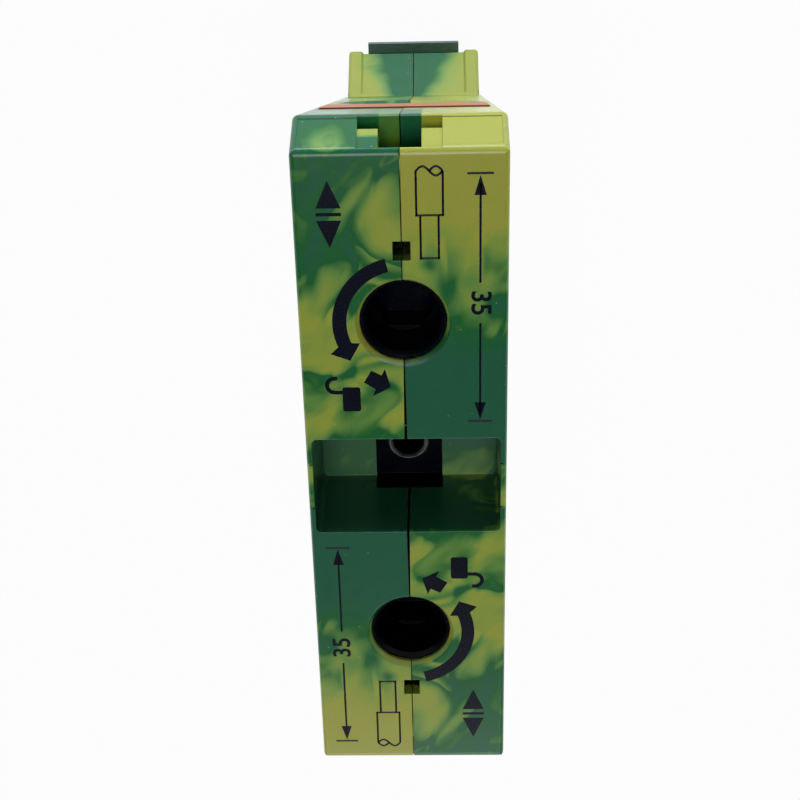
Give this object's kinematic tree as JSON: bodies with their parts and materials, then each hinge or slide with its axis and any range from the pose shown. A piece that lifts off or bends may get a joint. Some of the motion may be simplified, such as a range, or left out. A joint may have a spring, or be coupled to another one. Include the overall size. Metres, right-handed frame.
{
  "type": "feed-through terminal block",
  "caption": "Tapered high-current rail-mount terminal block in two marbled shells, with key-turned spring clamps, a jumper pocket and a metal rail foot.",
  "frame": {"origin": "centre of the metal seat that lies on the rail", "axes": "+X along the rail, +Y up the front face, +Z from the rail to the front face"},
  "size_m": [0.025, 0.0924, 0.1112],
  "materials": {
    "shell": "satin, marbled green and yellow",
    "black_plastic": "gloss black",
    "orange_plastic": "satin orange",
    "copper": "bare copper",
    "tinned": "tin plate",
    "steel": "zinc plate",
    "spring_steel": "bright rolled"
  },
  "bodies": {
    "block": {"housing_left": "shell", "housing_right": "shell", "current_bar": "copper", "ground_post": "copper", "ground_foot": "steel", "foot_screws": "steel", "latch_spring": "spring_steel", "jumper_socket": "tinned", "socket_insert": "black_plastic", "upper_clamp_spring": "spring_steel", "lower_clamp_spring": "spring_steel", "upper_lock_spring": "spring_steel", "lower_lock_spring": "spring_steel"},
    "upper_key_spindle": {"upper_spindle": "black_plastic"},
    "lower_key_spindle": {"lower_spindle": "black_plastic"},
    "upper_cage": {"upper_clamp_cage": "steel"},
    "lower_cage": {"lower_clamp_cage": "steel"},
    "upper_lock": {"upper_lock_latch": "orange_plastic"},
    "lower_lock": {"lower_lock_latch": "orange_plastic"},
    "rail_jaw": {"rail_latch": "steel"}
  },
  "joints": [
    {"name": "upper_spindle_turn", "type": "hinge", "parent": "block", "child": "upper_key_spindle", "pos_m": [0, 0.02255, 0.09], "axis": [0, 0, 1], "range_deg": [0, 124]},
    {"name": "lower_spindle_turn", "type": "hinge", "parent": "block", "child": "lower_key_spindle", "pos_m": [0, -0.02255, 0.09], "axis": [0, 0, 1], "range_deg": [0, 124]},
    {"name": "upper_cage_slide", "type": "slide", "parent": "block", "child": "upper_cage", "axis": [0, 0, -1], "range_m": [0, 0.01], "stiffness_N_per_m": 60, "springref_m": -0.01, "deforming": ["upper_clamp_spring"]},
    {"name": "lower_cage_slide", "type": "slide", "parent": "block", "child": "lower_cage", "axis": [0, 0, -1], "range_m": [0, 0.01], "stiffness_N_per_m": 60, "springref_m": -0.01, "deforming": ["lower_clamp_spring"]},
    {"name": "upper_lock_slide", "type": "slide", "parent": "block", "child": "upper_lock", "axis": [0, -0.9669, 0.2553], "range_m": [0, 0.002], "stiffness_N_per_m": 300, "springref_m": -0.002, "deforming": ["upper_lock_spring"]},
    {"name": "lower_lock_slide", "type": "slide", "parent": "block", "child": "lower_lock", "axis": [0, 0.9669, 0.2553], "range_m": [0, 0.002], "stiffness_N_per_m": 300, "springref_m": -0.002, "deforming": ["lower_lock_spring"]},
    {"name": "rail_latch_slide", "type": "slide", "parent": "block", "child": "rail_jaw", "axis": [0, 1, 0], "range_m": [0, 0.0012], "stiffness_N_per_m": 400, "springref_m": -0.002, "deforming": ["latch_spring"]}
  ],
  "couplings": [
    {"joint": "upper_spindle_turn", "follows": "upper_cage_slide", "rad_per_m": 209.43},
    {"joint": "lower_spindle_turn", "follows": "lower_cage_slide", "rad_per_m": 209.43}
  ]
}
